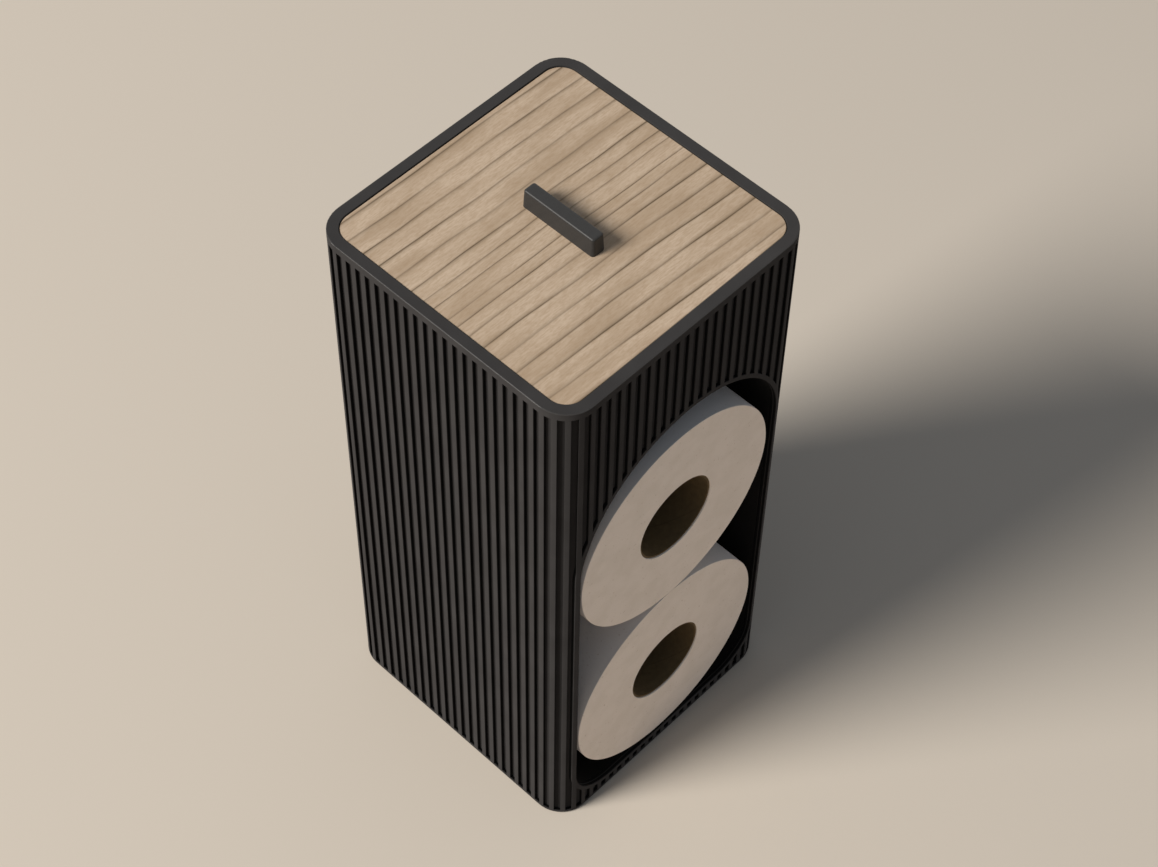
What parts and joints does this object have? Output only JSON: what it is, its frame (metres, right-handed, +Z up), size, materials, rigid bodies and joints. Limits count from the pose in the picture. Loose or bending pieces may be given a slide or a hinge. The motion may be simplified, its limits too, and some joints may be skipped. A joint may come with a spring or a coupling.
{
  "type": "toilet roll storage holder",
  "caption": "Fluted upright holder with an arched front niche for stacked toilet rolls, a tray under a lift-off wooden lid with a bar handle, and a base plate on feet.",
  "frame": {"origin": "on the ground under the middle of the body, at the underside of the feet", "axes": "+Z up, the niche opens towards -Y, +X to the right seen from the front"},
  "size_m": [0.135, 0.135, 0.305],
  "materials": {
    "shell_plastic": "matte moulded",
    "liner_plastic": "matte moulded",
    "tray_plastic": "matte moulded",
    "lid_wood": "fine sanded, matte oiled",
    "handle_metal": "fine powder coat",
    "screw_steel": "zinc plated",
    "foot_rubber": "matte",
    "tissue_paper": "soft matte paper",
    "core_board": "matte grey board"
  },
  "bodies": {
    "holder": {"fluted_shell": "shell_plastic", "niche_liner": "liner_plastic", "base_plate": "liner_plastic", "base_screws": "screw_steel", "rubber_feet": "foot_rubber", "top_tray": "tray_plastic"},
    "lid": {"lid_panel": "lid_wood", "lid_handle": "handle_metal", "handle_screws": "screw_steel", "handle_washers": "screw_steel", "lid_pads": "foot_rubber"},
    "lower_roll": {"lower_roll_paper": "tissue_paper", "lower_roll_core": "core_board"},
    "upper_roll": {"upper_roll_paper": "tissue_paper", "upper_roll_core": "core_board"}
  },
  "joints": [
    {"name": "lid_lift", "type": "slide", "parent": "holder", "child": "lid", "axis": [0, 0, 1], "range_m": [0, 0.08]},
    {"name": "lower_roll_pull", "type": "slide", "parent": "holder", "child": "lower_roll", "axis": [0, -1, 0], "range_m": [0, 0.12]},
    {"name": "upper_roll_pull", "type": "slide", "parent": "holder", "child": "upper_roll", "axis": [0, -1, 0], "range_m": [0, 0.12]}
  ]
}
